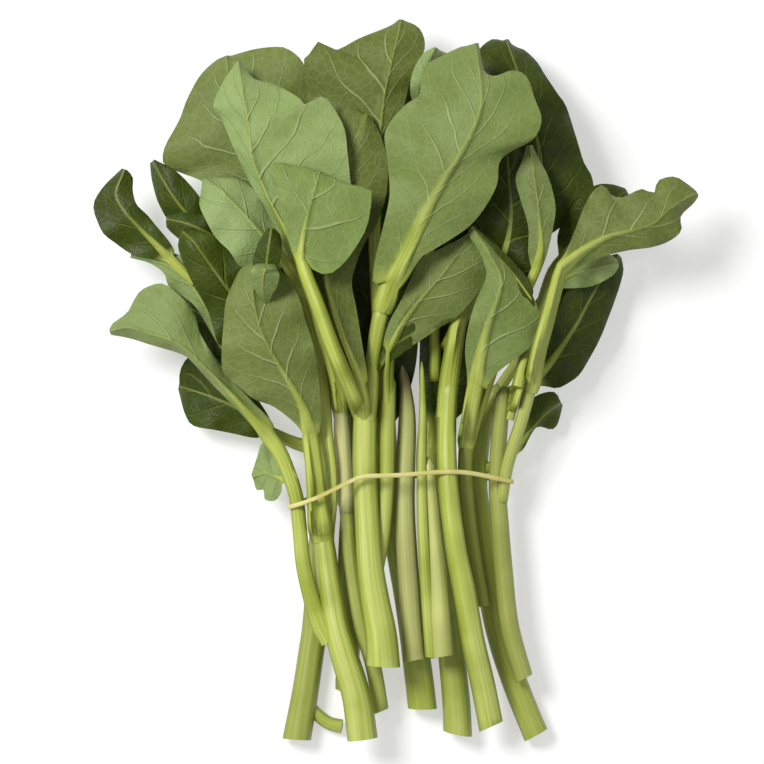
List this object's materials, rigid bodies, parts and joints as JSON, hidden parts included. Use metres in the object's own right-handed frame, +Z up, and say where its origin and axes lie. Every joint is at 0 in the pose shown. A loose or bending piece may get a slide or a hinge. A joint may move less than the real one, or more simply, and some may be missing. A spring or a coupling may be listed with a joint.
{
  "type": "bok choy bunch",
  "caption": "Bunch of leafy green bok choy stalks with smooth rounded leaves, held together round the stems by a thin rubber band, lying on its back.",
  "frame": {"origin": "on the floor, in the middle of the flat underside of the rubber band, below the tied stems", "axes": "+Y along the bunch from the cut stem ends to the leaf tips, +X across it, +Z up from the floor"},
  "size_m": [0.2892, 0.3486, 0.0751],
  "materials": {
    "stalk_outer_left": null,
    "stalk_under_left": null,
    "stalk_under_centre": null,
    "stalk_under_right": null,
    "stalk_outer_right": null,
    "stalk_right": null,
    "stalk_middle_left": null,
    "stalk_thin_right": null,
    "stalk_centre_short": null,
    "stalk_left": null,
    "stalk_split": null,
    "stalk_ridged": null,
    "stalk_front_right": null,
    "rubber_band": "pale cream rubber band, dull"
  },
  "bodies": {
    "root": {"stalk_outer_left": "stalk_outer_left", "stalk_under_left": "stalk_under_left", "stalk_under_centre": "stalk_under_centre", "stalk_under_right": "stalk_under_right", "stalk_outer_right": "stalk_outer_right", "stalk_right": "stalk_right", "stalk_middle_left": "stalk_middle_left", "stalk_thin_right": "stalk_thin_right", "stalk_centre_short": "stalk_centre_short", "stalk_left": "stalk_left", "stalk_split": "stalk_split", "stalk_ridged": "stalk_ridged", "stalk_front_right": "stalk_front_right", "rubber_band": "rubber_band"}
  },
  "joints": []
}
